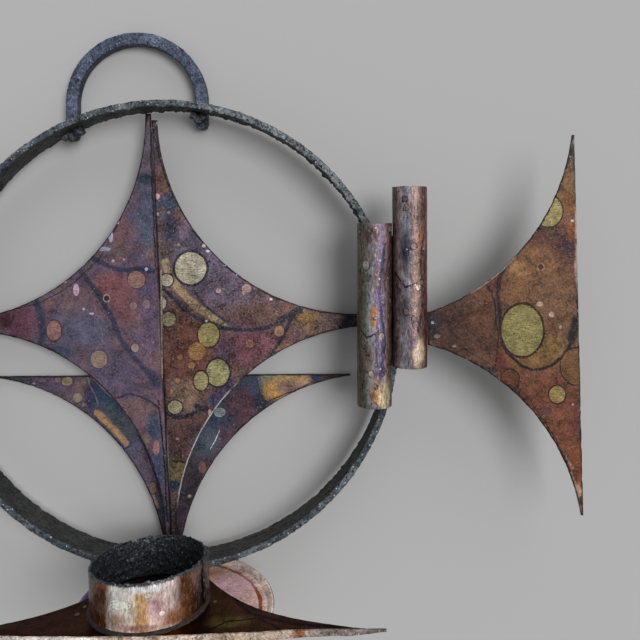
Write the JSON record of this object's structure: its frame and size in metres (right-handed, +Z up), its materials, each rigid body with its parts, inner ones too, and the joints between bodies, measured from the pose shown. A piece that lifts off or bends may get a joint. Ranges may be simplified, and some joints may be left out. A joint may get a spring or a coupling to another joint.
{
  "type": "wall candle holder",
  "caption": "Iron hoop with a star of patinated copper plates, side tubes and tail plates, and a shelf with a candle cup and drip dish.",
  "frame": {"origin": "where a nail bears: the top of the inside of the hanger loop, in the plane of the wall", "axes": "+X to the right as seen from the room, +Y into the wall, +Z up"},
  "size_m": [0.3922, 0.0876, 0.2692],
  "materials": {
    "patinated_copper": "heat-patinated copper sheet, purple brown with dark veins and brass-coloured spots",
    "copper_tube": "worn copper with brown, blue and pale silvery bands",
    "bright_copper": "pale pink copper with grey and orange flecks",
    "forged_iron": "rough blue-black iron with pale specks",
    "solder": "dull grey solder and braze, partly blackened"
  },
  "bodies": {
    "root": {"star_plate_left": "patinated_copper", "star_plate_right": "patinated_copper", "rear_half_star": "patinated_copper", "tail_plate_left": "patinated_copper", "tail_plate_right": "patinated_copper", "shelf_plate": "patinated_copper", "inner_tube_left": "copper_tube", "inner_tube_right": "copper_tube", "outer_tube_left": "copper_tube", "outer_tube_right": "copper_tube", "candle_cup": "copper_tube", "shelf_edge_strip": "bright_copper", "drip_dish": "bright_copper", "dish_stud": "bright_copper", "hoop": "forged_iron", "hanger_loop": "forged_iron", "hanger_weld_left": "forged_iron", "hanger_weld_right": "forged_iron", "star_ridge_solder": "solder", "star_tip_solder_left": "solder", "star_tip_solder_right": "solder", "star_foot_solder": "solder", "rear_star_solder": "solder", "shelf_braze": "solder", "cup_solder": "solder", "tube_seam_solder_left": "solder", "tube_seam_solder_right": "solder", "tube_hoop_braze_left": "solder", "tube_hoop_braze_right": "solder", "tail_solder_left": "solder", "tail_solder_right": "solder"}
  },
  "joints": []
}
